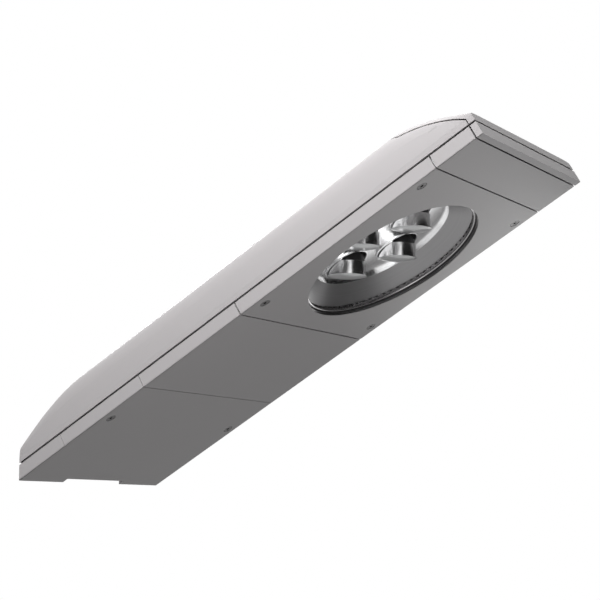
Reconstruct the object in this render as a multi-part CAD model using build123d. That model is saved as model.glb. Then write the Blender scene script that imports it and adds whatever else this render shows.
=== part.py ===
from build123d import *
from math import cos, hypot, radians, sin, tan
import os

# LED wall light: a long flat luminaire that leaves the wall at a rising angle.
# It is drawn lying level, x out from the wall, z up from the underside, and then tilted.
# In the drawn position the rear face leans by the tilt, so that it is upright once installed.

# Body
TILT = 30.0
WIDTH = 250.0
TRAY_HEIGHT = 14.1
GASKET_GAP = 2.2
RIM_HEIGHT = 5.8
SHOULDER_HEIGHT = 39.0
SHOULDER_LEAN = 6.0
SHOULDER_SETBACK = 20.0
SIDE_BEND_HEIGHT = 9.5
SIDE_BEND_LEAN = 0.8
CROWN_RISE = 4.0
WALL = 3.0
EDGE_RADIUS = 1.2

# Slopes of the top cover at the wall and at the tip
REAR_RUN = 99.0
REAR_POWER = 1.83
REAR_STEP = 9.0
FRONT_RUN = 88.0
FRONT_POWER = 1.84
FRONT_STEP = 3.5
DOME_STATIONS = 7
STATION_POWER = 1.3

# Panels of the underside, from the wall
REAR_COVER_LENGTH = 184.0
MID_PANEL_LENGTH = 133.0
OPTIC_PANEL_LENGTH = 247.2
FRONT_PANEL_LENGTH = 47.4
END_CAP_LENGTH = 8.4
CHEEK_LENGTH = 70.0
REAR_JOINT = 0.8
PANEL_JOINT = 1.6
COVER_JOINT = 1.0
NOTCH_WIDTH = 102.0
NOTCH_DEPTH = 7.0

# Front hood
HOOD_LENGTH = 92.0
HOOD_EDGE_BOW = 5.0
HOOD_EDGE_SHARE = 0.2
HOOD_BAND = 7.0
HOOD_SCREW_Y = 60.0

# Clearance between pieces that slip into each other, and around a screw in its own thread
FIT = 0.2
THREAD_FIT = 0.05

# Structure inside
RAIL_START = 20.0
RAIL_WIDTH = 13.8
CROSSBAR_WIDTH = 16.0
GASKET_WIDTH = 6.5
GASKET_INSET = 2.0
GEAR_TRAY_THICKNESS = 2.0
GEAR_TRAY_REAR = 44.0
GEAR_TRAY_OVERLAP = 4.0

# Wall bracket
PLATE_THICKNESS = 5.0
PLATE_LOW = 6.5
PLATE_HEIGHT = 18.0
PLATE_SIDE_GAP = 12.0
CHEEK_THICKNESS = 4.0
ARM_WIDTH = 7.8
ARM_LENGTH = 120.0
WALL_BOLT_SPACING = 150.0
WALL_BOLT_RADIUS = 3.3
CABLE_RADIUS = 5.0
GROMMET_WALL = 1.8
GROMMET_LIP = 1.0

# Screws that hold the panels
SCREW_FROM_EDGE = 13.5
SCREW_HEAD_RADIUS = 5.4
SCREW_HEAD_HEIGHT = 2.8
SCREW_SINK = 0.25
SCREW_RADIUS = 2.5
SCREW_LENGTH = 12.0
SOCKET_RADIUS = 1.9
SOCKET_DEPTH = 1.8
REAR_SCREW_FROM_SEAM = 58.0
OPTIC_SCREW_FROM_SEAM = 24.0

# Round recess of the optics
RECESS_FROM_SEAM = 123.0
RECESS_TO_RAIL = 3.0
OPENING_STEP = 1.4
BEZEL_FLANGE = 8.4
BEZEL_FLANGE_THICKNESS = 1.6
BEZEL_WALL = 1.6
BEZEL_HEIGHT = 6.2
BEZEL_LIP = 1.3
BEZEL_SEAL = 1.5
SLOT_COUNT = 72
SLOT_WIDTH = 3.4
SLOT_HEIGHT = 1.8
DISH_HEIGHT = 16.0
DISH_TAPER = 18.6
DISH_NECK = 3.5
DISH_SHEET = 1.5
DISH_FLANGE = 6.0

# Optics, each with an upright axis once installed
OPTIC_SETBACK = 9.0
OPTIC_MARGIN_X = 33.8
OPTIC_MARGIN_Y = 35.6
OPTIC_PROUD = 1.8
BARREL_BORE = 17.6
BARREL_WALL = 1.1
COLLAR_WALL = 2.0
COLLAR_HEIGHT = 14.0
FUNNEL_HEIGHT = 10.0
FUNNEL_BORE = 15.1
HOLE_GAP = 0.9
HOLE_LIP_WIDTH = 1.6
HOLE_LIP_HEIGHT = 1.2
LENS_RIM = 3.0
LENS_BULGE = 3.6
LENS_OVERHANG = 0.7
LENS_EDGE = 0.6
LENS_DOME = 2.4
LED_LEVEL = 8.6
LED_RADIUS = 5.0
LED_THICKNESS = 1.4
BOARD_RADIUS = 13.4
BOARD_THICKNESS = 1.6
POST_RADIUS = 14.4

# Heat spreader above the optics
SPREADER_THICKNESS = 4.0
SPREADER_LIFT = 5.5
SPREADER_END = 13.5
SPREADER_SIDE_GAP = 9.0
SPREADER_CORNER = 9.0
SKIRT_THICKNESS = 6.0
LEG_RADIUS = 5.0
LEG_INSET = 8.0
FIN_COUNT = 13
FIN_THICKNESS = 2.0
FIN_HEIGHT = 12.0
FIN_PITCH = 15.0

# Gear on the tray, from the wall: terminals, surge protector and earth stud, driver
TERMINAL_REAR = 66.0
TERMINAL_TO_SURGE = 14.0
SURGE_TO_DRIVER = 10.0
DRIVER_SIZE = (128.0, 74.0, 32.0)
DRIVER_FOOT = 8.0
DRIVER_FOOT_WIDTH = 50.0
DRIVER_FOOT_THICKNESS = 1.5
SURGE_SIZE = (46.0, 40.0, 24.0)
TERMINAL_SIZE = (24.0, 62.0, 18.0)
GEAR_OFFSET = 26.0
TERMINAL_WAYS = 5
TERMINAL_SCREW_RADIUS = 3.0
TERMINAL_SCREW_DEPTH = 4.5
TERMINAL_WIRE_RADIUS = 2.4
TERMINAL_WIRE_LEVEL = 6.0
CASE_CORNER = 3.0
TERMINAL_CORNER = 1.5

# Cover fixings
COVER_SCREW_FROM_REAR = 24.0
COVER_SCREW_FROM_OPTIC = 16.0
BOSS_RADIUS = 4.8
BOSS_TO_SPREADER = 1.6
COVER_SCREW_RADIUS = 2.0
COVER_SCREW_LENGTH = 22.0
COVER_SCREW_HEAD = 3.6
COVER_SCREW_HEAD_HEIGHT = 2.6

# Smaller fixings
BRACKET_BOLT_RADIUS = 2.5
BRACKET_BOLT_LENGTH = 18.0
BRACKET_BOLT_HEAD = 4.2
BRACKET_BOLT_HEAD_HEIGHT = 3.0
BRACKET_BOLT_PITCH = 50.0
GEAR_SCREW_RADIUS = 1.8
GEAR_SCREW_HEAD = 3.5
GEAR_SCREW_HEAD_HEIGHT = 2.2
EARTH_RADIUS = 2.0
EARTH_HEIGHT = 12.0
EARTH_NUT_RADIUS = 4.0
EARTH_NUT_HEIGHT = 4.0
EARTH_FROM_SURGE = 14.0
EARTH_Y = -40.0

# Worked out from the sizes above
HALF = WIDTH / 2
LEAN_RATIO = tan(radians(TILT))
RIM_BOTTOM = TRAY_HEIGHT + GASKET_GAP
RIM_TOP = RIM_BOTTOM + RIM_HEIGHT
COVER_TOP = RIM_TOP + SHOULDER_HEIGHT + CROWN_RISE
REAR_COVER_END = REAR_COVER_LENGTH
MID_PANEL_END = REAR_COVER_END + MID_PANEL_LENGTH
OPTIC_PANEL_END = MID_PANEL_END + OPTIC_PANEL_LENGTH
FRONT_PANEL_END = OPTIC_PANEL_END + FRONT_PANEL_LENGTH
LENGTH = FRONT_PANEL_END + END_CAP_LENGTH
RAIL_OUTER = HALF - CHEEK_THICKNESS - FIT
RAIL_INNER = RAIL_OUTER - RAIL_WIDTH
RAIL_MIDDLE = (WALL + FIT + TRAY_HEIGHT) / 2
PLATE_HALF_WIDTH = HALF - PLATE_SIDE_GAP
PLATE_MIDDLE = PLATE_LOW + PLATE_HEIGHT / 2
BRACKET_BOLT_X = ((ARM_LENGTH - BRACKET_BOLT_PITCH) / 2, (ARM_LENGTH + BRACKET_BOLT_PITCH) / 2)
SCREW_Y = HALF - SCREW_FROM_EDGE
SCREW_X = (
    REAR_COVER_END - REAR_SCREW_FROM_SEAM,
    MID_PANEL_END + OPTIC_SCREW_FROM_SEAM,
    OPTIC_PANEL_END - OPTIC_SCREW_FROM_SEAM,
)
RECESS_X = MID_PANEL_END + RECESS_FROM_SEAM
BEZEL_RADIUS = RAIL_INNER - RECESS_TO_RAIL - BEZEL_FLANGE
OPENING_RADIUS = BEZEL_RADIUS + OPENING_STEP
BEZEL_LOW = WALL + BEZEL_SEAL
DISH_LOW = BEZEL_LOW + BEZEL_HEIGHT
DISH_TOP_RADIUS = BEZEL_RADIUS - DISH_TAPER
DISH_OUTER = DISH_TOP_RADIUS + DISH_SHEET + DISH_FLANGE
DISH_TOP = DISH_LOW + DISH_HEIGHT
PLATE_LEVEL = DISH_TOP + DISH_NECK
BARREL_RADIUS = BARREL_BORE + BARREL_WALL
COLLAR_RADIUS = BARREL_BORE + COLLAR_WALL
FACE_LEVEL = PLATE_LEVEL - COLLAR_RADIUS * sin(radians(TILT)) - OPTIC_PROUD
HOLE_RADIUS = COLLAR_RADIUS + HOLE_GAP
OPTIC_X = RECESS_X - OPTIC_SETBACK
OPTIC_SPREAD_X = DISH_TOP_RADIUS - OPTIC_MARGIN_X
OPTIC_SPREAD_Y = DISH_TOP_RADIUS - OPTIC_MARGIN_Y
OPTIC_CENTRES = (
    (OPTIC_X - OPTIC_SPREAD_X, 0.0),
    (OPTIC_X, -OPTIC_SPREAD_Y),
    (OPTIC_X, OPTIC_SPREAD_Y),
    (OPTIC_X + OPTIC_SPREAD_X, 0.0),
)
SPREADER_LOW = PLATE_LEVEL + DISH_SHEET + SPREADER_LIFT
SPREADER_LENGTH = 2 * (DISH_OUTER + SPREADER_END)
SPREADER_WIDTH = WIDTH - 2 * SPREADER_SIDE_GAP
LEG_X = (RECESS_X - SPREADER_LENGTH / 2 + LEG_INSET, RECESS_X + SPREADER_LENGTH / 2 - LEG_INSET)
BOSS_TOP = SPREADER_LOW - BOSS_TO_SPREADER
COVER_SCREW_X = (
    REAR_COVER_END + COVER_SCREW_FROM_REAR,
    RECESS_X,
    OPTIC_PANEL_END + COVER_SCREW_FROM_OPTIC,
)
HOOD_SCREW_X = FRONT_PANEL_END - FIT - CROSSBAR_WIDTH / 2
GEAR_TOP = TRAY_HEIGHT + GEAR_TRAY_THICKNESS
SURGE_REAR = TERMINAL_REAR + TERMINAL_SIZE[0] + TERMINAL_TO_SURGE
EARTH_X = SURGE_REAR + EARTH_FROM_SURGE
DRIVER_REAR = SURGE_REAR + SURGE_SIZE[0] + SURGE_TO_DRIVER + DRIVER_FOOT
DRIVER_SCREW_X = (DRIVER_REAR - DRIVER_FOOT / 2, DRIVER_REAR + DRIVER_SIZE[0] + DRIVER_FOOT / 2)

# How far a cutting shape runs past a face, and a length beyond the whole body
PAST = 1.0
FAR = LENGTH * 2


def rear_x(z):
    """The rear face's distance from the bottom rear edge at a height."""
    return z * LEAN_RATIO


def block(x, y, z):
    """A box between two values on each axis."""
    size = (x[1] - x[0], y[1] - y[0], z[1] - z[0])
    middle = ((x[0] + x[1]) / 2, (y[0] + y[1]) / 2, (z[0] + z[1]) / 2)
    return Pos(*middle) * Box(*size)


def both_sides(shape):
    """A shape and its mirror image across the middle plane."""
    return shape + mirror(shape, about=Plane.XZ)


def pipe(outer, inner, low, high):
    """An upright ring."""
    ring = Cylinder(outer, high - low) - Cylinder(inner, high - low)
    return Pos(0, 0, (low + high) / 2) * ring


def turned(points):
    """A body turned about the upright axis from a closed outline of radius and height."""
    return revolve(Plane.XZ * make_face(Polyline(*points, close=True)), Axis.Z)


def from_wall(shape):
    """Places a shape drawn square to the wall into the level drawing position."""
    return Rot(0, TILT, 0) * shape


def behind_wall_plane():
    """Everything behind the rear face."""
    return from_wall(block((-FAR, 0), (-FAR, FAR), (-FAR, FAR)))


def on_optic(index, shape):
    """Places a shape drawn about an upright optic axis, with the face at height zero."""
    x, y = OPTIC_CENTRES[index]
    return Pos(x, y, FACE_LEVEL) * (Rot(0, TILT, 0) * shape)


def below_spreader():
    """Everything on the room side of the heat spreader's slab."""
    return block((0, LENGTH), (-HALF, HALF), (-FAR, SPREADER_LOW))


# Underside panels


def panel_profile():
    """The folded section of every underside panel: a floor and two low sides."""
    outer = Pos(0, TRAY_HEIGHT / 2) * Rectangle(WIDTH, TRAY_HEIGHT)
    low_corners = outer.vertices().group_by(Axis.Y)[0]
    outer = fillet(low_corners, EDGE_RADIUS)
    inner_height = TRAY_HEIGHT - WALL
    inner = Pos(0, WALL + inner_height / 2) * Rectangle(WIDTH - 2 * WALL, inner_height)
    return Plane.YZ * (outer - inner)


def panel(start, end):
    """One underside panel between two joints."""
    return extrude(Pos(start, 0, 0) * panel_profile(), amount=end - start)


def screw_holes(x):
    """Countersunk holes in a panel's floor at both sides."""
    shank = SCREW_RADIUS + FIT
    head = SCREW_HEAD_RADIUS + FIT
    cone_top = SCREW_SINK + SCREW_HEAD_HEIGHT
    outline = [
        (0, -PAST),
        (head, -PAST),
        (head, SCREW_SINK),
        (shank, cone_top),
        (shank, TRAY_HEIGHT),
        (0, TRAY_HEIGHT),
    ]
    return both_sides(Pos(x, SCREW_Y, 0) * turned(outline))


def rear_cover():
    """The panel next to the wall, cut to the wall plane, between the bracket's cheeks."""
    shape = panel(0, REAR_COVER_END) - behind_wall_plane()
    cheek_y = (HALF - CHEEK_THICKNESS, HALF + PAST)
    cheek_room = block((-PAST, CHEEK_LENGTH), cheek_y, (-PAST, TRAY_HEIGHT + PAST))
    notch_y = (-NOTCH_WIDTH / 2, NOTCH_WIDTH / 2)
    notch = block((-PAST, NOTCH_DEPTH), notch_y, (-PAST, TRAY_HEIGHT))
    return shape - both_sides(cheek_room) - notch - screw_holes(SCREW_X[0])


def mid_panel():
    """The plain panel below the driver."""
    return panel(REAR_COVER_END + REAR_JOINT, MID_PANEL_END)


def optic_panel():
    """The panel with the round opening."""
    shape = panel(MID_PANEL_END + PANEL_JOINT, OPTIC_PANEL_END)
    opening = Pos(RECESS_X, 0, 0) * Cylinder(OPENING_RADIUS, FAR)
    return shape - opening - screw_holes(SCREW_X[1]) - screw_holes(SCREW_X[2])


def front_panel():
    """The plain panel between the opening and the tip."""
    return panel(OPTIC_PANEL_END + PANEL_JOINT, FRONT_PANEL_END)


def lower_end_cap():
    """The closing piece of the tray at the tip."""
    start = FRONT_PANEL_END + PANEL_JOINT
    closing = block((LENGTH - WALL, LENGTH), (-HALF + WALL, HALF - WALL), (WALL, TRAY_HEIGHT))
    return panel(start, LENGTH) + closing


# Top cover


def rise_share(x):
    """How much of the full dome height the cover has at a distance from the wall."""
    rear = min(1.0, max(0.0, (x - rear_x(RIM_TOP)) / REAR_RUN))
    front = min(1.0, max(0.0, (LENGTH - x) / FRONT_RUN))
    rear_start = REAR_STEP / SHOULDER_HEIGHT
    front_start = FRONT_STEP / SHOULDER_HEIGHT
    rear_share = rear_start + (1 - rear_start) * (1 - (1 - rear) ** REAR_POWER)
    front_share = front_start + (1 - front_start) * (1 - (1 - front) ** FRONT_POWER)
    return min(rear_share, front_share)


def dome_section(x, inset):
    """The dome's upright section with bowed sides and a low crown, set in by a wall thickness."""
    share = rise_share(x)
    half = HALF - inset
    corner_y = half - SHOULDER_LEAN * share
    corner_z = SHOULDER_HEIGHT * share
    crown_z = corner_z + CROWN_RISE * share
    bend_y = half - SIDE_BEND_LEAN * share
    bend_z = SIDE_BEND_HEIGHT * share
    down = SHOULDER_SETBACK / (SHOULDER_HEIGHT - SIDE_BEND_HEIGHT)
    side_y = corner_y + (bend_y - corner_y) * down
    side_z = corner_z + (bend_z - corner_z) * down
    top_y = corner_y - SHOULDER_SETBACK
    top_z = corner_z + 2 * (crown_z - corner_z) * SHOULDER_SETBACK / corner_y
    base = RIM_TOP - inset

    def point(y, z):
        return (x, y, base + z)

    right = [
        Bezier(point(half, 0), point(bend_y, bend_z), point(side_y, side_z)),
        Bezier(point(side_y, side_z), point(corner_y, corner_z), point(top_y, top_z)),
    ]
    crown = Bezier(point(top_y, top_z), point(0, 2 * crown_z - top_z), point(-top_y, top_z))
    left = [
        Bezier(point(-top_y, top_z), point(-corner_y, corner_z), point(-side_y, side_z)),
        Bezier(point(-side_y, side_z), point(-bend_y, bend_z), point(-half, 0)),
    ]
    floor = Line(point(-half, 0), point(half, 0))
    return Wire([*right, crown, *left, floor])


def dome_stations(start, run, end_first):
    """Distances from the wall of the sections over one slope, closer together at its low end."""
    steps = [run * (i / DOME_STATIONS) ** STATION_POWER for i in range(DOME_STATIONS + 1)]
    return [start - s for s in steps] if end_first else [start + s for s in steps]


def dome(inset):
    """The dome above the rim: two lofted slopes and a straight run between them."""
    rear = dome_stations(rear_x(RIM_TOP) + inset, REAR_RUN - inset, False)
    front = dome_stations(LENGTH - inset, FRONT_RUN - inset, True)
    rear_slope = Solid.make_loft([dome_section(x, inset) for x in rear])
    front_slope = Solid.make_loft([dome_section(x, inset) for x in front])
    middle = Solid.make_loft([dome_section(rear[-1], inset), dome_section(front[-1], inset)], ruled=True)
    return rear_slope + middle + front_slope


def cover_body(inset):
    """The rim with the dome on it, solid, before the wall plane is cut."""
    rim_start = rear_x(RIM_TOP) + inset if inset else -PAST
    rim_low = RIM_BOTTOM - PAST if inset else RIM_BOTTOM
    rim_y = (-HALF + inset, HALF - inset)
    rim = block((rim_start, LENGTH - inset), rim_y, (rim_low, RIM_TOP - inset))
    return rim + dome(inset)


def hood_zone(grow):
    """The part of the cover taken by the front hood, with its joint shifted by an amount."""
    low_x = FRONT_PANEL_END + PANEL_JOINT - grow
    rim_z = RIM_TOP - grow
    back_x = LENGTH - HOOD_LENGTH
    shoulder_x = back_x + HOOD_LENGTH * HOOD_EDGE_SHARE - grow
    shoulder_z = RIM_TOP + SHOULDER_HEIGHT - HOOD_BAND - grow
    middle_x = (low_x + shoulder_x) / 2
    middle_z = (rim_z + shoulder_z) / 2 + HOOD_EDGE_BOW
    edge = ThreePointArc((low_x, rim_z), (middle_x, middle_z), (shoulder_x, shoulder_z))
    rest = Polyline(
        (shoulder_x, shoulder_z),
        (back_x - grow, COVER_TOP),
        (back_x - grow, COVER_TOP + WALL),
        (LENGTH + WALL, COVER_TOP + WALL),
        (LENGTH + WALL, 0),
        (low_x, 0),
        (low_x, rim_z),
    )
    face = Plane.XZ * make_face([edge, *rest.edges()])
    return extrude(face, amount=HALF + WALL, both=True)


def cover_shell():
    """The cover and the hood in one, hollow below."""
    shell = cover_body(0) - cover_body(WALL) - behind_wall_plane()
    window_top = PLATE_LOW + PLATE_HEIGHT + FIT
    half_width = PLATE_HALF_WIDTH + FIT
    window = block((-PAST, PLATE_THICKNESS + WALL), (-half_width, half_width), (0, window_top))
    return shell - from_wall(window)


def boss(x, y, top):
    """A boss that stands on the structure and takes a screw from below."""
    post = Pos(x, y, (TRAY_HEIGHT + top) / 2) * Cylinder(BOSS_RADIUS, top - TRAY_HEIGHT)
    thread = Cylinder(COVER_SCREW_RADIUS + THREAD_FIT, 2 * COVER_SCREW_LENGTH)
    return post - Pos(x, y, TRAY_HEIGHT) * thread


def cover_boss(x):
    """A boss of the top cover, joined to its side wall."""
    web_y = (SCREW_Y + BOSS_RADIUS / 2, HALF - WALL / 2)
    web = block((x - BOSS_RADIUS, x + BOSS_RADIUS), web_y, (RIM_BOTTOM, BOSS_TOP))
    return boss(x, SCREW_Y, BOSS_TOP) + web


def top_cover():
    """The cast top cover with its bosses."""
    shape = cover_shell() - hood_zone(COVER_JOINT)
    for x in COVER_SCREW_X:
        shape += both_sides(cover_boss(x))
    return shape


def front_hood():
    """The front slope of the cover with the rim at the tip and two bosses."""
    bosses = both_sides(boss(HOOD_SCREW_X, HOOD_SCREW_Y, COVER_TOP))
    return (cover_shell() & hood_zone(0)) + (bosses & cover_body(WALL / 2))


def rim_gasket():
    """The soft seal between the underside and the cover, all round but for the wall end."""
    outer = GASKET_INSET
    inner = GASKET_INSET + GASKET_WIDTH
    rear = rear_x(TRAY_HEIGHT) + outer
    outside = block((rear, LENGTH - outer), (-HALF + outer, HALF - outer), (TRAY_HEIGHT, RIM_BOTTOM))
    inside = block((-PAST, LENGTH - inner), (-HALF + inner, HALF - inner), (0, FAR))
    return outside - inside - behind_wall_plane()


# Structure


def cover_screw_hole(x, y):
    """The hole in the structure for a cover screw, with room for its head below."""
    depth = COVER_SCREW_HEAD_HEIGHT + FIT
    shank = Pos(x, y, 0) * Cylinder(COVER_SCREW_RADIUS + FIT / 2, FAR)
    return shank + Pos(x, y, WALL + FIT + depth / 2) * Cylinder(COVER_SCREW_HEAD + FIT, depth)


def side_rail():
    """One of the two rails that the panels are screwed to, on the far side."""
    long_way = (RAIL_START, FRONT_PANEL_END - FIT)
    rail = block(long_way, (RAIL_INNER, RAIL_OUTER), (WALL + FIT, TRAY_HEIGHT))
    for x in SCREW_X:
        rail -= Pos(x, SCREW_Y, 0) * Cylinder(SCREW_RADIUS + THREAD_FIT, FAR)
    for x in COVER_SCREW_X:
        rail -= cover_screw_hole(x, SCREW_Y)
    for x in BRACKET_BOLT_X:
        bolt_hole = Rot(90, 0, 0) * Cylinder(BRACKET_BOLT_RADIUS + FIT / 2, WIDTH / 2)
        rail -= Pos(x, HALF, RAIL_MIDDLE) * bolt_hole
    return rail


def crossbars():
    """Bars between the rails at each joint of the underside."""
    bars = Part()
    for x in (REAR_COVER_END, MID_PANEL_END, OPTIC_PANEL_END, HOOD_SCREW_X):
        low = (x - CROSSBAR_WIDTH / 2, x + CROSSBAR_WIDTH / 2)
        bars += block(low, (-RAIL_INNER, RAIL_INNER), (WALL + FIT, TRAY_HEIGHT))
    bars -= both_sides(cover_screw_hole(HOOD_SCREW_X, HOOD_SCREW_Y))
    recess = Pos(RECESS_X, 0, 0) * Cylinder(BEZEL_RADIUS + BEZEL_FLANGE + FIT, FAR)
    return bars - recess


def wall_plate_holes():
    """The holes through the bracket's plate: two for wall bolts and one for the cable bush."""
    bolt = Rot(0, 90, 0) * Cylinder(WALL_BOLT_RADIUS, 4 * PLATE_THICKNESS)
    cable = Rot(0, 90, 0) * Cylinder(CABLE_RADIUS + GROMMET_WALL, 4 * PLATE_THICKNESS)
    bolts = [Pos(0, side * WALL_BOLT_SPACING / 2, PLATE_MIDDLE) * bolt for side in (-1, 1)]
    return [*bolts, Pos(0, 0, PLATE_MIDDLE) * cable]


def wall_bracket():
    """The cast bracket: a plate on the wall, two arms inside the rails and two outer cheeks."""
    thick = (0, PLATE_THICKNESS)
    plate_top = PLATE_LOW + PLATE_HEIGHT
    plate = block(thick, (-PLATE_HALF_WIDTH, PLATE_HALF_WIDTH), (PLATE_LOW, plate_top))
    shoulder_top = (TRAY_HEIGHT - WALL) / cos(radians(TILT))
    shoulder = block(thick, (-HALF + FIT, HALF - FIT), (PLATE_LOW, shoulder_top))
    shape = from_wall(plate + shoulder - wall_plate_holes())
    arm_y = (RAIL_INNER - FIT - ARM_WIDTH, RAIL_INNER - FIT)
    arm = block((rear_x(WALL), ARM_LENGTH), arm_y, (WALL + FIT, TRAY_HEIGHT))
    for x in BRACKET_BOLT_X:
        bolt_hole = Rot(90, 0, 0) * Cylinder(BRACKET_BOLT_RADIUS + THREAD_FIT, 3 * ARM_WIDTH)
        arm -= Pos(x, RAIL_INNER, RAIL_MIDDLE) * bolt_hole
    cheek = block((0, CHEEK_LENGTH - REAR_JOINT / 2), (HALF - CHEEK_THICKNESS, HALF), (0, TRAY_HEIGHT))
    low_edge = cheek.edges().filter_by(Axis.X).sort_by(Axis.Y)[-2:].sort_by(Axis.Z)[0]
    cheek = fillet(low_edge, EDGE_RADIUS)
    shape = shape + both_sides(arm - behind_wall_plane()) + both_sides(cheek - behind_wall_plane())
    return shape - block((-FAR, FAR), (-FAR, FAR), (-FAR, 0))


def cable_grommet():
    """The rubber bush in the wall plate that the mains cable comes through."""
    outer = CABLE_RADIUS + GROMMET_WALL
    bush = pipe(outer, CABLE_RADIUS, 0, PLATE_THICKNESS)
    lip = pipe(outer + GROMMET_LIP, CABLE_RADIUS, PLATE_THICKNESS, PLATE_THICKNESS + GROMMET_LIP)
    return from_wall(Pos(0, 0, PLATE_MIDDLE) * (Rot(0, 90, 0) * (bush + lip)))


def gear_tray():
    """The flat plate that carries the gear, resting on the arms and crossbars."""
    half = SCREW_Y - BOSS_RADIUS - FIT
    front = MID_PANEL_END + GEAR_TRAY_OVERLAP
    return block((GEAR_TRAY_REAR, front), (-half, half), (TRAY_HEIGHT, GEAR_TOP))


# Recess of the optics


def bezel_seal():
    """The flat rubber ring between the optic panel and the bezel."""
    ring = pipe(BEZEL_RADIUS + BEZEL_FLANGE, OPENING_RADIUS + FIT, WALL, BEZEL_LOW)
    return Pos(RECESS_X, 0, 0) * ring


def optic_bezel():
    """The ring behind the opening: a flange, a round lip and a thin wall with slots along its top."""
    flange_top = BEZEL_LOW + BEZEL_FLANGE_THICKNESS
    lip_top = (BEZEL_RADIUS, BEZEL_LOW + 2 * BEZEL_LIP)
    lip_middle = (BEZEL_RADIUS - BEZEL_LIP, BEZEL_LOW + BEZEL_LIP)
    lip = ThreePointArc((BEZEL_RADIUS, BEZEL_LOW), lip_middle, lip_top)
    rest = Polyline(
        lip_top,
        (BEZEL_RADIUS, DISH_LOW),
        (BEZEL_RADIUS + BEZEL_WALL, DISH_LOW),
        (BEZEL_RADIUS + BEZEL_WALL, flange_top),
        (BEZEL_RADIUS + BEZEL_FLANGE, flange_top),
        (BEZEL_RADIUS + BEZEL_FLANGE, BEZEL_LOW),
        (BEZEL_RADIUS, BEZEL_LOW),
    )
    ring = revolve(Plane.XZ * make_face([lip, *rest.edges()]), Axis.Z)
    slot = Pos(BEZEL_RADIUS, 0, DISH_LOW) * Box(4 * BEZEL_WALL, SLOT_WIDTH, 2 * SLOT_HEIGHT)
    ring -= [Rot(0, 0, i * 360 / SLOT_COUNT) * slot for i in range(SLOT_COUNT)]
    return Pos(RECESS_X, 0, 0) * ring


def optic_dish():
    """The spun cone of the recess, with a short neck above it and a flange at each end."""
    low, high = DISH_LOW, PLATE_LEVEL
    across = DISH_SHEET * hypot(DISH_TAPER, DISH_HEIGHT) / DISH_HEIGHT
    neck_start = DISH_TOP + (across - DISH_SHEET) * DISH_HEIGHT / DISH_TAPER
    low_flange = BEZEL_RADIUS + DISH_FLANGE
    section = [
        (BEZEL_RADIUS, low),
        (low_flange, low),
        (low_flange, low + DISH_SHEET),
        (BEZEL_RADIUS + across - DISH_SHEET, low + DISH_SHEET),
        (DISH_TOP_RADIUS + DISH_SHEET, neck_start),
        (DISH_TOP_RADIUS + DISH_SHEET, high - DISH_SHEET),
        (DISH_OUTER, high - DISH_SHEET),
        (DISH_OUTER, high),
        (DISH_TOP_RADIUS, high),
        (DISH_TOP_RADIUS, DISH_TOP),
    ]
    return Pos(RECESS_X, 0, 0) * turned(section)


def optic_bore(index, radius):
    """A long cylinder about an optic's axis, for holes."""
    return on_optic(index, Cylinder(radius, FAR))


def reflector_plate():
    """The mirror sheet on top of the dish, with a lipped hole for each optic."""
    sheet = Pos(RECESS_X, 0, PLATE_LEVEL + DISH_SHEET / 2) * Cylinder(DISH_OUTER, DISH_SHEET)
    lip_room = block((0, LENGTH), (-HALF, HALF), (PLATE_LEVEL - HOLE_LIP_HEIGHT, PLATE_LEVEL))
    for index in range(len(OPTIC_CENTRES)):
        sheet += optic_bore(index, HOLE_RADIUS + HOLE_LIP_WIDTH) & lip_room
    for index in range(len(OPTIC_CENTRES)):
        sheet -= optic_bore(index, HOLE_RADIUS)
    return sheet


def heat_spreader():
    """The casting above the plate: skirt, slab, fins, legs and a slanted post for each optic."""
    high = SPREADER_LOW + SPREADER_THICKNESS
    half_length = SPREADER_LENGTH / 2
    half_width = SPREADER_WIDTH / 2
    long_way = (RECESS_X - half_length, RECESS_X + half_length)
    slab = block(long_way, (-half_width, half_width), (SPREADER_LOW, high))
    slab = fillet(slab.edges().filter_by(Axis.Z), SPREADER_CORNER)
    skirt = pipe(DISH_OUTER, DISH_OUTER - SKIRT_THICKNESS, PLATE_LEVEL + DISH_SHEET, SPREADER_LOW)
    shape = slab + Pos(RECESS_X, 0, 0) * skirt
    for i in range(FIN_COUNT):
        y = (i - (FIN_COUNT - 1) / 2) * FIN_PITCH
        fin_y = (y - FIN_THICKNESS / 2, y + FIN_THICKNESS / 2)
        shape += block(long_way, fin_y, (high, high + FIN_HEIGHT))
    leg_height = SPREADER_LOW - TRAY_HEIGHT
    for x in LEG_X:
        leg = Cylinder(LEG_RADIUS, leg_height)
        shape += both_sides(Pos(x, SCREW_Y, TRAY_HEIGHT + leg_height / 2) * leg)
    keep = block((0, LENGTH), (-HALF, HALF), (0, SPREADER_LOW + SPREADER_THICKNESS / 2))
    post_low = LED_LEVEL + LED_THICKNESS + BOARD_THICKNESS
    for index in range(len(OPTIC_CENTRES)):
        post = on_optic(index, Pos(0, 0, post_low + WIDTH / 2) * Cylinder(POST_RADIUS, WIDTH))
        shape += post & keep
    return shape


def optic_barrel(index):
    """A bright collar and above it a funnel that narrows to a tube, which ends at the heat spreader."""
    collar = pipe(COLLAR_RADIUS, BARREL_BORE, 0, COLLAR_HEIGHT)
    funnel_top = COLLAR_HEIGHT + FUNNEL_HEIGHT
    outline = [
        (BARREL_BORE, COLLAR_HEIGHT),
        (BARREL_RADIUS, COLLAR_HEIGHT),
        (FUNNEL_BORE + BARREL_WALL, funnel_top),
        (FUNNEL_BORE + BARREL_WALL, WIDTH),
        (FUNNEL_BORE, WIDTH),
        (FUNNEL_BORE, funnel_top),
    ]
    return on_optic(index, collar + turned(outline)) & below_spreader()


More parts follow.
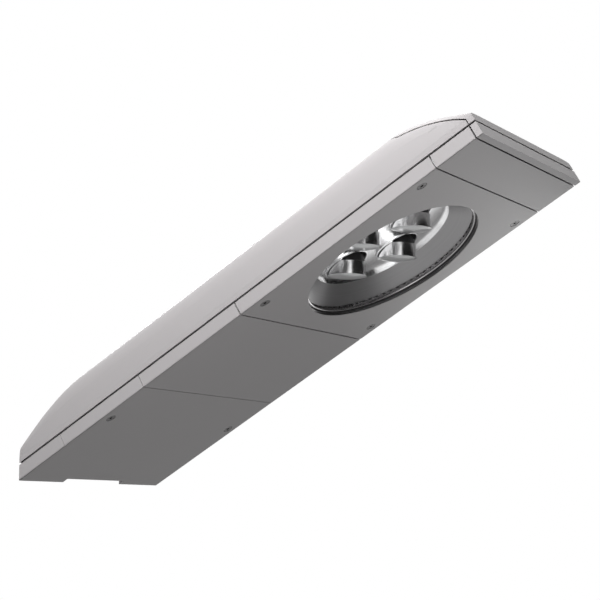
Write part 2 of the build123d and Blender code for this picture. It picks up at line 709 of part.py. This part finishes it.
def lens_part(radius, flat, bulge):
    """A disc with one flat face at height zero and a bulged face above its straight edge."""
    ball_radius = (radius**2 + bulge**2) / (2 * bulge)
    disc = Pos(0, 0, (flat + bulge) / 2) * Cylinder(radius, flat + bulge)
    return disc & Pos(0, 0, flat + bulge - ball_radius) * Sphere(ball_radius)


def lens(index):
    """A clear lens: a plug in the mouth of a barrel and a domed cap over the collar's end."""
    plug = lens_part(BARREL_BORE - THREAD_FIT, LENS_RIM, LENS_BULGE)
    cap = lens_part(COLLAR_RADIUS + LENS_OVERHANG, LENS_EDGE, LENS_DOME)
    return on_optic(index, plug + mirror(cap, about=Plane.XY))


def led_board(index):
    """The round circuit board on the end of a post."""
    level = LED_LEVEL + LED_THICKNESS + BOARD_THICKNESS / 2
    return on_optic(index, Pos(0, 0, level) * Cylinder(BOARD_RADIUS, BOARD_THICKNESS))


def led_chips():
    """The light source in the middle of each board."""
    level = LED_LEVEL + LED_THICKNESS / 2
    chip = Pos(0, 0, level) * Cylinder(LED_RADIUS, LED_THICKNESS)
    return [on_optic(index, chip) for index in range(len(OPTIC_CENTRES))]


# Gear


def gear_case(rear, size, side, radius):
    """A closed case standing on the gear tray."""
    length, width, height = size
    case_y = (side - width / 2, side + width / 2)
    case = block((rear, rear + length), case_y, (GEAR_TOP, GEAR_TOP + height))
    return fillet(case.edges().filter_by(Axis.Z), radius)


def led_driver():
    """The driver's metal case with a foot at each end."""
    case = gear_case(DRIVER_REAR, DRIVER_SIZE, 0, CASE_CORNER)
    foot_x = (DRIVER_REAR - DRIVER_FOOT, DRIVER_REAR + DRIVER_SIZE[0] + DRIVER_FOOT)
    foot_y = (-DRIVER_FOOT_WIDTH / 2, DRIVER_FOOT_WIDTH / 2)
    shape = case + block(foot_x, foot_y, (GEAR_TOP, GEAR_TOP + DRIVER_FOOT_THICKNESS))
    for x in DRIVER_SCREW_X:
        shape -= Pos(x, 0, GEAR_TOP) * Cylinder(GEAR_SCREW_RADIUS + FIT, 2 * GEAR_TOP)
    return shape


def surge_protector():
    """The potted surge protector."""
    return gear_case(SURGE_REAR, SURGE_SIZE, GEAR_OFFSET, CASE_CORNER)


def terminal_block():
    """A row of screw terminals with a wire entry on both long sides."""
    length, width, height = TERMINAL_SIZE
    side = -GEAR_OFFSET / 2
    shape = gear_case(TERMINAL_REAR, TERMINAL_SIZE, side, TERMINAL_CORNER)
    pitch = width / TERMINAL_WAYS
    middle = TERMINAL_REAR + length / 2
    screw = Cylinder(TERMINAL_SCREW_RADIUS, 2 * TERMINAL_SCREW_DEPTH)
    wire = Rot(0, 90, 0) * Cylinder(TERMINAL_WIRE_RADIUS, 2 * length)
    for i in range(TERMINAL_WAYS):
        y = side + (i - (TERMINAL_WAYS - 1) / 2) * pitch
        shape -= Pos(middle, y, GEAR_TOP + height) * screw
        shape -= Pos(middle, y, GEAR_TOP + TERMINAL_WIRE_LEVEL) * wire
    return shape


# Fixings


def countersunk_screw():
    """A panel screw with a hexagonal socket, pointing up from the underside."""
    cone_top = SCREW_SINK + SCREW_HEAD_HEIGHT
    outline = [
        (0, SCREW_SINK),
        (SCREW_HEAD_RADIUS, SCREW_SINK),
        (SCREW_RADIUS, cone_top),
        (SCREW_RADIUS, SCREW_LENGTH),
        (0, SCREW_LENGTH),
    ]
    socket = extrude(RegularPolygon(SOCKET_RADIUS, 6), amount=SCREW_SINK + SOCKET_DEPTH)
    return turned(outline) - socket


def panel_screws():
    """The six screws of the underside."""
    screw = countersunk_screw()
    return [Pos(x, side * SCREW_Y, 0) * screw for x in SCREW_X for side in (-1, 1)]


def round_headed_screw(radius, length, head_radius, head_height):
    """A screw with a flat round head, pointing up from the underside of its head."""
    head = Pos(0, 0, head_height / 2) * Cylinder(head_radius, head_height)
    return head + Pos(0, 0, head_height + length / 2) * Cylinder(radius, length)


def cover_screws():
    """The screws that pull the cover down onto its gasket."""
    head = (COVER_SCREW_HEAD, COVER_SCREW_HEAD_HEIGHT)
    screw = round_headed_screw(COVER_SCREW_RADIUS, COVER_SCREW_LENGTH, *head)
    places = [(x, SCREW_Y) for x in COVER_SCREW_X] + [(HOOD_SCREW_X, HOOD_SCREW_Y)]
    return [Pos(x, side * y, WALL + 2 * FIT) * screw for x, y in places for side in (-1, 1)]


def bracket_bolts():
    """The bolts that join each arm of the bracket to its rail."""
    head = (BRACKET_BOLT_HEAD, BRACKET_BOLT_HEAD_HEIGHT)
    bolt = round_headed_screw(BRACKET_BOLT_RADIUS, BRACKET_BOLT_LENGTH, *head)
    start = RAIL_INNER - FIT - ARM_WIDTH - BRACKET_BOLT_HEAD_HEIGHT
    far = [Pos(x, start, RAIL_MIDDLE) * (Rot(-90, 0, 0) * bolt) for x in BRACKET_BOLT_X]
    return far + [mirror(b, about=Plane.XZ) for b in far]


def driver_screws():
    """The screws in the driver's feet."""
    head = (GEAR_SCREW_HEAD, GEAR_SCREW_HEAD_HEIGHT)
    screw = round_headed_screw(GEAR_SCREW_RADIUS, DRIVER_FOOT_THICKNESS, *head)
    top = GEAR_TOP + DRIVER_FOOT_THICKNESS + GEAR_SCREW_HEAD_HEIGHT
    return [Pos(x, 0, top) * (Rot(180, 0, 0) * screw) for x in DRIVER_SCREW_X]


def earth_stud():
    """The earth stud on the gear tray with its nut."""
    stud = Pos(0, 0, EARTH_HEIGHT / 2) * Cylinder(EARTH_RADIUS, EARTH_HEIGHT)
    nut = extrude(RegularPolygon(EARTH_NUT_RADIUS, 6), amount=EARTH_NUT_HEIGHT)
    return Pos(EARTH_X, EARTH_Y, GEAR_TOP) * (stud + nut)


def place(shape):
    """Tilts a finished piece into its installed position, with the wall bolts' middle at the origin."""
    return Pos(0, 0, -PLATE_MIDDLE) * (Rot(0, -TILT, 0) * shape)


def write(name, shape):
    """Writes a piece, or several separate ones, to its file."""
    pieces = shape if isinstance(shape, list) else [shape]
    solids = [solid for piece in pieces for solid in place(piece).solids()]
    export_step(Compound(solids) if len(solids) > 1 else solids[0], f"parts/{name}.step")


def main():
    """Builds every piece."""
    os.makedirs("parts", exist_ok=True)
    write("wall_bracket", wall_bracket())
    write("cable_grommet", cable_grommet())
    write("rear_cover", rear_cover())
    write("mid_panel", mid_panel())
    write("optic_panel", optic_panel())
    write("front_panel", front_panel())
    write("lower_end_cap", lower_end_cap())
    write("top_cover", top_cover())
    write("front_hood", front_hood())
    write("rim_gasket", rim_gasket())
    write("side_rail_far", side_rail())
    write("side_rail_near", mirror(side_rail(), about=Plane.XZ))
    write("crossbars", crossbars())
    write("gear_tray", gear_tray())
    write("bezel_seal", bezel_seal())
    write("optic_bezel", optic_bezel())
    write("optic_dish", optic_dish())
    write("reflector_plate", reflector_plate())
    write("heat_spreader", heat_spreader())
    for index in range(len(OPTIC_CENTRES)):
        write(f"optic_barrel_{index + 1}", optic_barrel(index))
        write(f"lens_{index + 1}", lens(index))
        write(f"led_board_{index + 1}", led_board(index))
    write("led_chips", led_chips())
    write("led_driver", led_driver())
    write("surge_protector", surge_protector())
    write("terminal_block", terminal_block())
    write("panel_screws", panel_screws())
    write("cover_screws", cover_screws())
    write("bracket_bolts", bracket_bolts())
    write("driver_screws", driver_screws())
    write("earth_stud", earth_stud())


main()
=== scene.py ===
import bpy
import math
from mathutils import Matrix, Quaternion, Vector


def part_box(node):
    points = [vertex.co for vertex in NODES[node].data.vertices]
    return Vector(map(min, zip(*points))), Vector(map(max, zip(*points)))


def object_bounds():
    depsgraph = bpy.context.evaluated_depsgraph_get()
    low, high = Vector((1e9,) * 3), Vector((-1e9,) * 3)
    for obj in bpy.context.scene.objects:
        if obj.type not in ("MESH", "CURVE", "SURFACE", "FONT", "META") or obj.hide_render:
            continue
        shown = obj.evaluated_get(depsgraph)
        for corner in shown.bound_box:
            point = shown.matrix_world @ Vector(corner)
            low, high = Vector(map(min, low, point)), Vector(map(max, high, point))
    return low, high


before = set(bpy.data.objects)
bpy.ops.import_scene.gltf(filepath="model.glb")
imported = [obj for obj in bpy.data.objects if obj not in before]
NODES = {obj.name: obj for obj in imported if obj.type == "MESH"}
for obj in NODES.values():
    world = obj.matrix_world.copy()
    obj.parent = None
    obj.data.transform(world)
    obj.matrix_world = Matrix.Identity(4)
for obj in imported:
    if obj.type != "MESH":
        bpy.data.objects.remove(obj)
CAD_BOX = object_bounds()
OPTICS = range(1, 5)

# The whole light, in metres: x out from the wall, y along the wall, z up
LOW, HIGH = CAD_BOX
MIDDLE = (LOW + HIGH) / 2
UP = Vector((0, 0, 1))
ACROSS = Vector((0, 1, 0))

# The light's own directions, tilted on the wall: along its length, and in from its underside
TILT = math.radians(30.0)
ALONG = Vector((math.cos(TILT), 0, math.sin(TILT)))
INWARD = Vector((-math.sin(TILT), 0, math.cos(TILT)))

# The underside starts at the wall, where the light is lowest, and the axis of the round recess lies along it
UNDERSIDE_START = Vector((0, 0, LOW.z))
RECESS_ALONG = 0.440
RECESS = UNDERSIDE_START + RECESS_ALONG * ALONG
COLLAR_HEIGHT = 0.014

# Bands in which one finish gives way to the next: a distance from the axis of the recess, two depths behind
# the underside, and a height over the top of a collar. OPENING_EDGE and PANEL_FACE bound the opening's wall,
# which is dark as painted shade; above COLLAR_EDGE a barrel is black as painted shade
OPENING_EDGE = (0.0972, 0.0973)
PANEL_FACE = (0.0004, 0.0006)
NECK_START = (0.0266, 0.0269)
COLLAR_EDGE = (-0.0001, 0.0001)

# Noise: the range that most of its values lie in, how much detail it has, and its size in two finishes
NOISE_RANGE = (0.3, 0.7)
BLOTCH_DETAIL = 2.0
GLOSS_DETAIL = 3.0
GRAIN_DETAIL = 4.0
SPUN_RING = 0.0012
PLATING_GRAIN = 0.0006

# Camera, as the photograph was taken: from below, at the near side of the tip
CAMERA_PLACE = Vector((1.1322, -1.4746, -0.0597))
CAMERA_AZIMUTH = math.radians(30.316)
CAMERA_RISE = math.radians(7.766)
CAMERA_ROLL = math.radians(0.08)
CAMERA_LENS = 98.26
CAMERA_SENSOR = 36.0
CAMERA_CLIP = (0.05, 50.0)

# Studio
FLOOR_LEVEL = -0.62
FLOOR_SIZE = 14.0
FLOOR_GREY = (0.15, 0.15, 0.15)
CARD_X = 1.25
CARD_Y = (-0.6, 1.6)
CARD_Z = (-0.6, 0.55)
CARD_BLACK = (0.01, 0.01, 0.01)
WHITE = (1.0, 1.0, 1.0)
AMBIENT_STRENGTH = 0.01


# Node tree helpers


class Tree:
    """A material's or world's node tree, with short calls to add nodes and links."""

    def __init__(self, owner):
        owner.use_nodes = True
        self.tree = owner.node_tree
        self.tree.nodes.clear()

    def add(self, kind, **settings):
        node = self.tree.nodes.new(kind)
        for name, value in settings.items():
            setattr(node, name, value)
        return node

    def feed(self, socket, value):
        """Gives a socket a number, a colour, a vector or another node's output."""
        if isinstance(value, bpy.types.NodeSocket):
            self.tree.links.new(value, socket)
        elif isinstance(value, tuple):
            socket.default_value = (*value, 1.0)
        else:
            socket.default_value = value

    def math(self, operation, first, second):
        """A sum, product or the like of two values or sockets."""
        node = self.add("ShaderNodeMath", operation=operation)
        self.feed(node.inputs[0], first)
        self.feed(node.inputs[1], second)
        return node.outputs[0]

    def noise(self, size, detail):
        """Noise in the object's own space whose blobs are about a size in metres."""
        place = self.add("ShaderNodeTexCoord")
        noise = self.add("ShaderNodeTexNoise")
        self.feed(noise.inputs["Vector"], place.outputs["Object"])
        self.feed(noise.inputs["Scale"], 1.0 / size)
        self.feed(noise.inputs["Detail"], detail)
        return noise.outputs["Fac"]

    def rings(self, radius, size):
        """Noise of fine circles around an axis, as turned or spun metal has."""
        noise = self.add("ShaderNodeTexNoise", noise_dimensions="1D")
        self.feed(noise.inputs["W"], radius)
        self.feed(noise.inputs["Scale"], 1.0 / size)
        self.feed(noise.inputs["Detail"], GLOSS_DETAIL)
        return noise.outputs["Fac"]

    def distance(self, direction, origin):
        """How far a point lies along a direction from an origin, in metres."""
        place = self.add("ShaderNodeTexCoord")
        dot = self.add("ShaderNodeVectorMath", operation="DOT_PRODUCT")
        self.feed(dot.inputs[0], place.outputs["Object"])
        self.feed(dot.inputs[1], direction)
        return self.math("SUBTRACT", dot.outputs["Value"], origin.dot(direction))

    def depth(self):
        """How deep a point lies behind the underside's plane, in metres."""
        return self.distance(INWARD, UNDERSIDE_START)

    def recess_radius(self):
        """A point's distance from the axis of the round recess, in metres."""
        along = self.distance(ALONG, RECESS)
        across = self.distance(ACROSS, RECESS)
        squares = self.math("ADD", self.math("MULTIPLY", along, along), self.math("MULTIPLY", across, across))
        return self.math("SQRT", squares, 0.0)

    def remap(self, value, old_range, new_range):
        """A value moved from one range to another."""
        node = self.add("ShaderNodeMapRange")
        self.feed(node.inputs["Value"], value)
        self.feed(node.inputs["From Min"], old_range[0])
        self.feed(node.inputs["From Max"], old_range[1])
        self.feed(node.inputs["To Min"], new_range[0])
        self.feed(node.inputs["To Max"], new_range[1])
        return node.outputs["Result"]

    def past(self, value, band):
        """0 before a band and 1 past it."""
        return self.remap(value, band, (0.0, 1.0))

    def mix(self, share, first, second):
        """A value between two values or sockets."""
        node = self.add("ShaderNodeMix", data_type="FLOAT")
        self.feed(node.inputs[0], share)
        self.feed(node.inputs[2], first)
        self.feed(node.inputs[3], second)
        return node.outputs[0]

    def blend(self, share, first, second):
        """A colour between two colours or sockets."""
        node = self.add("ShaderNodeMix", data_type="RGBA")
        self.feed(node.inputs[0], share)
        self.feed(node.inputs[6], first)
        self.feed(node.inputs[7], second)
        return node.outputs[2]


class Surface(Tree):
    """A material with one Principled shader and a fine grain in its relief."""

    def __init__(self, name, grain, relief):
        self.material = bpy.data.materials.new(name)
        super().__init__(self.material)
        self.shader = self.add("ShaderNodeBsdfPrincipled")
        out = self.add("ShaderNodeOutputMaterial")
        self.feed(out.inputs["Surface"], self.shader.outputs["BSDF"])
        self.fine = self.noise(grain, GRAIN_DETAIL)
        bump = self.add("ShaderNodeBump")
        self.feed(bump.inputs["Height"], self.fine)
        self.feed(bump.inputs["Distance"], relief)
        self.feed(bump.inputs["Strength"], 1.0)
        self.set(Normal=bump.outputs["Normal"])

    def set(self, **values):
        """Sets or links the shader's sockets, where an underscore stands for a space."""
        for name, value in values.items():
            self.feed(self.shader.inputs[name.replace("_", " ")], value)


def shade(colour, factor):
    """A colour made lighter or darker."""
    return tuple(min(1.0, part * factor) for part in colour)


def finish(name, colour, metallic, roughness, swing=0.06, blotch=0.05, blotch_size=0.05, grain=0.0008,
           relief=0.00003, **others):
    """A surface with slow colour changes and uneven gloss; gives it, its colour and its gloss."""
    surface = Surface(name, grain, relief)
    slow = surface.noise(blotch_size, BLOTCH_DETAIL)
    tone = surface.blend(slow, shade(colour, 1 - blotch), shade(colour, 1 + blotch))
    gloss = surface.remap(surface.fine, NOISE_RANGE, (roughness - swing, roughness + swing))
    surface.set(Base_Color=tone, Roughness=gloss, Metallic=metallic, **others)
    return surface, tone, gloss


def dress(surface, *names):
    """Gives a surface to CAD nodes."""
    for name in names:
        for slot in NODES[name].material_slots:
            slot.material = surface.material


# Materials


def body_paint(name="body_paint"):
    """Silver grey satin powder coat on aluminium."""
    return finish(name, (0.424, 0.407, 0.412), metallic=0.0, roughness=0.36, blotch=0.02, blotch_size=0.12,
                  grain=0.0006, relief=0.00001, Specular_IOR_Level=0.17)


def shaded_opening_paint():
    """The same coat, with the wall of the round opening given a dark metal colour as painted shade."""
    surface, coat, gloss = body_paint("optic_panel_paint")
    inside = surface.math("SUBTRACT", 1.0, surface.past(surface.recess_radius(), OPENING_EDGE))
    wall = surface.math("MULTIPLY", inside, surface.past(surface.depth(), PANEL_FACE))
    # The opening's wall is dark metal: painted shade at the recess's edge
    surface.set(
        Base_Color=surface.blend(wall, coat, (0.16, 0.157, 0.158)),
        Roughness=surface.mix(wall, gloss, 0.2),
        Metallic=wall,
    )
    return surface


def rubber(name, colour):
    """Moulded rubber with a dry, slightly dusty face."""
    return finish(name, colour, metallic=0.0, roughness=0.7, blotch=0.12, blotch_size=0.03, grain=0.0005,
                  relief=0.00004)[0]


def cast_metal():
    """Bare aluminium of the frame and the castings inside."""
    return finish("bare_aluminium", (0.62, 0.62, 0.63), metallic=0.9, roughness=0.45, grain=0.0015,
                  relief=0.00008)[0]


def bezel_metal():
    """Darkened turned ring."""
    return finish("bezel_metal", (0.28, 0.273, 0.276), metallic=1.0, roughness=0.22, swing=0.03, blotch=0.02,
                  grain=0.0004, relief=0.000004)[0]


def dish_satin():
    """Spun satin cone, with its narrow neck polished."""
    surface = Surface("dish_satin", grain=0.0004, relief=0.000004)
    neck = surface.past(surface.depth(), NECK_START)
    rings = surface.rings(surface.recess_radius(), SPUN_RING)
    satin = surface.blend(surface.past(rings, NOISE_RANGE), (0.335, 0.33, 0.335), (0.36, 0.355, 0.36))
    surface.set(
        Base_Color=surface.blend(neck, satin, (0.90, 0.90, 0.90)),
        Roughness=surface.mix(neck, surface.remap(rings, NOISE_RANGE, (0.31, 0.37)), 0.06),
        Metallic=surface.mix(neck, 0.4, 1.0),
    )
    return surface


def mirror():
    """Bright anodised reflector sheet."""
    return finish("bright_mirror", (0.95, 0.95, 0.955), metallic=1.0, roughness=0.24, swing=0.02, blotch=0.01,
                  blotch_size=0.02, relief=0.000004)[0]


def chrome(number):
    """Vacuum-plated collar of a barrel; above the collar the barrel is painted matt black as painted shade.
    """
    surface = Surface(f"barrel_chrome_{number}", grain=0.0008, relief=0.000002)
    collar_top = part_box(f"optic_barrel_{number}")[0] + COLLAR_HEIGHT * UP
    painted_shade = surface.past(surface.distance(UP, collar_top), COLLAR_EDGE)
    gloss = surface.remap(surface.noise(PLATING_GRAIN, GLOSS_DETAIL), NOISE_RANGE, (0.19, 0.22))
    # Above the collar the barrel's colour is near black: painted shade where the tube rises into the plate
    surface.set(
        Base_Color=surface.blend(painted_shade, (0.90, 0.90, 0.905), (0.018, 0.018, 0.019)),
        Roughness=surface.mix(painted_shade, gloss, 0.5),
        Metallic=surface.mix(painted_shade, 1.0, 0.0),
    )
    return surface


def diffusing_lens():
    """Moulded diffusing lens with faint flow marks."""
    return finish("lens_clear", (0.93, 0.935, 0.94), metallic=0.0, roughness=0.14, swing=0.03, blotch=0.02,
                  blotch_size=0.012, grain=0.004, relief=0.00015, IOR=1.49)[0]


def board_white():
    """Solder mask of the circuit boards."""
    return finish("circuit_board", (0.85, 0.85, 0.82), metallic=0.0, roughness=0.4, grain=0.0005)[0]


def phosphor():
    """Yellow faces of the light sources."""
    return finish("led_phosphor", (0.85, 0.65, 0.12), metallic=0.0, roughness=0.3, grain=0.0004)[0]


def case_white():
    """Plastic case of the driver."""
    return finish("driver_case", (0.75, 0.75, 0.73), metallic=0.0, roughness=0.45, grain=0.0006)[0]


def grey_plastic():
    """Plastic of the smaller gear."""
    return finish("grey_plastic", (0.35, 0.35, 0.36), metallic=0.0, roughness=0.5, grain=0.0005)[0]


def steel():
    """Darkened steel of the screws and bolts."""
    return finish("screw_steel", (0.045, 0.043, 0.043), metallic=0.85, roughness=0.42, grain=0.0003,
                  relief=0.00002)[0]


def brass():
    """Brass of the earth stud."""
    return finish("stud_brass", (0.72, 0.52, 0.22), metallic=1.0, roughness=0.3, grain=0.0004)[0]


def dress_nodes():
    """Gives every CAD node its finish."""
    dress(body_paint()[0], "wall_bracket", "rear_cover", "mid_panel", "front_panel", "lower_end_cap",
          "top_cover", "front_hood")
    dress(shaded_opening_paint(), "optic_panel")
    dress(rubber("black_rubber", (0.040, 0.038, 0.039)), "cable_grommet", "rim_gasket")
    dress(rubber("grey_rubber", (0.05, 0.048, 0.049)), "bezel_seal")
    dress(cast_metal(), "side_rail_far", "side_rail_near", "crossbars", "gear_tray", "heat_spreader")
    dress(bezel_metal(), "optic_bezel")
    dress(dish_satin(), "optic_dish")
    dress(mirror(), "reflector_plate")
    for number in OPTICS:
        dress(chrome(number), f"optic_barrel_{number}")
    dress(diffusing_lens(), *[f"lens_{number}" for number in OPTICS])
    dress(board_white(), *[f"led_board_{number}" for number in OPTICS])
    dress(phosphor(), "led_chips")
    dress(case_white(), "led_driver")
    dress(grey_plastic(), "surge_protector", "terminal_block")
    dress(steel(), "panel_screws", "cover_screws", "bracket_bolts", "driver_screws")
    dress(brass(), "earth_stud")


# Studio


def seen_white(tree, lit):
    """White to the camera, in reflections and through clear things, and another shader to all other light."""
    path = tree.add("ShaderNodeLightPath")
    seen = tree.math("MAXIMUM", path.outputs["Is Camera Ray"], path.outputs["Is Glossy Ray"])
    seen = tree.math("MAXIMUM", seen, path.outputs["Is Transmission Ray"])
    glow = tree.add("ShaderNodeEmission")
    tree.feed(glow.inputs["Color"], WHITE)
    tree.feed(glow.inputs["Strength"], 1.0)
    mix = tree.add("ShaderNodeMixShader")
    tree.feed(mix.inputs[0], seen)
    tree.feed(mix.inputs[1], lit)
    tree.feed(mix.inputs[2], glow.outputs[0])
    return mix.outputs[0]


def matt(tree, colour):
    """A plain diffuse shader."""
    paint = tree.add("ShaderNodeBsdfDiffuse")
    tree.feed(paint.inputs["Color"], colour)
    return paint.outputs[0]


def studio_sheet(name, corners):
    """A flat sheet of four corners that isn't part of the object; gives it and its material's tree."""
    mesh = bpy.data.meshes.new(name)
    mesh.from_pydata(corners, [], [(0, 1, 2, 3)])
    material = bpy.data.materials.new(name)
    mesh.materials.append(material)
    sheet = bpy.data.objects.new(name, mesh)
    bpy.context.scene.collection.objects.link(sheet)
    return sheet, Tree(material)


def make_floor():
    """The floor, clear from below, so that a view from there shows the underside."""
    half = FLOOR_SIZE / 2
    corners = [(-half, -half), (half, -half), (half, half), (-half, half)]
    tree = studio_sheet("studio_floor", [(x, y, FLOOR_LEVEL) for x, y in corners])[1]
    side = tree.add("ShaderNodeNewGeometry")
    clear = tree.add("ShaderNodeBsdfTransparent")
    both = tree.add("ShaderNodeMixShader")
    out = tree.add("ShaderNodeOutputMaterial")
    tree.feed(both.inputs[0], side.outputs["Backfacing"])
    tree.feed(both.inputs[1], seen_white(tree, matt(tree, FLOOR_GREY)))
    tree.feed(both.inputs[2], clear.outputs[0])
    tree.feed(out.inputs["Surface"], both.outputs[0])


def make_card():
    """A black card beyond the tip, seen in reflections alone."""
    (near, far), (low, high) = CARD_Y, CARD_Z
    corners = [(near, low), (far, low), (far, high), (near, high)]
    card, tree = studio_sheet("black_card", [(CARD_X, y, z) for y, z in corners])
    out = tree.add("ShaderNodeOutputMaterial")
    tree.feed(out.inputs["Surface"], matt(tree, CARD_BLACK))
    card.visible_camera = False
    card.visible_diffuse = False
    card.visible_shadow = False


def make_world():
    """A white surrounding that gives only a faint light."""
    world = bpy.data.worlds.new("studio_world")
    bpy.context.scene.world = world
    tree = Tree(world)
    ambient = tree.add("ShaderNodeBackground")
    tree.feed(ambient.inputs["Color"], WHITE)
    tree.feed(ambient.inputs["Strength"], AMBIENT_STRENGTH)
    out = tree.add("ShaderNodeOutputWorld")
    tree.feed(out.inputs["Surface"], seen_white(tree, ambient.outputs[0]))


def softbox(name, place, size, watts, roll=0.0):
    """A rectangular lamp that faces the middle of the light and is rolled about that line."""
    lamp = bpy.data.lights.new(name, "AREA")
    lamp.shape = "RECTANGLE"
    lamp.size, lamp.size_y = size
    lamp.energy = watts
    box = bpy.data.objects.new(name, lamp)
    box.location = place
    box.rotation_mode = "QUATERNION"
    facing = (MIDDLE - Vector(place)).to_track_quat("-Z", "Y")
    box.rotation_quaternion = facing @ Quaternion((0, 0, 1), roll)
    box.visible_camera = False
    bpy.context.scene.collection.objects.link(box)


def make_lamps():
    """Soft boxes around the light, which no camera sees."""
    # Near side: high beside the tip, low before the tip, and low beside the wall
    softbox("high_front", (0.40, -0.95, 1.15), (0.9, 0.45), 18.0, TILT)
    softbox("near_front", (0.42, -0.55, 0.80), (0.3, 0.2), 2.4, TILT)
    softbox("near_tip", (0.65, -0.45, -0.10), (0.3, 0.3), 0.85)
    softbox("side_wall", (-0.50, -0.95, 0.11), (0.5, 0.22), 1.6, TILT)

    # Far side, behind the wall's plane and above
    softbox("far_middle", (0.30, 0.90, 0.0), (0.4, 0.25), 1.15)
    softbox("far_high", (-0.35, 0.85, 0.45), (0.8, 0.6), 8.0)
    softbox("wall_end", (-0.95, -0.36, 0.37), (0.3, 0.3), 0.35)
    softbox("top", (-0.1, 0.2, 1.3), (0.9, 0.9), 3.0)


def make_camera():
    """The camera at the photographer's place."""
    camera = bpy.data.cameras.new("camera")
    camera.sensor_width = CAMERA_SENSOR
    camera.lens = CAMERA_LENS
    camera.clip_start, camera.clip_end = CAMERA_CLIP
    holder = bpy.data.objects.new("camera", camera)
    holder.location = CAMERA_PLACE
    look = Vector((
        -math.sin(CAMERA_AZIMUTH) * math.cos(CAMERA_RISE),
        math.cos(CAMERA_AZIMUTH) * math.cos(CAMERA_RISE),
        math.sin(CAMERA_RISE),
    ))
    holder.rotation_mode = "QUATERNION"
    holder.rotation_quaternion = look.to_track_quat("-Z", "Y") @ Quaternion((0, 0, 1), CAMERA_ROLL)
    bpy.context.scene.collection.objects.link(holder)
    bpy.context.scene.camera = holder


dress_nodes()
make_floor()
make_world()
make_card()
make_camera()
make_lamps()
bpy.context.scene.view_settings.view_transform = "Standard"
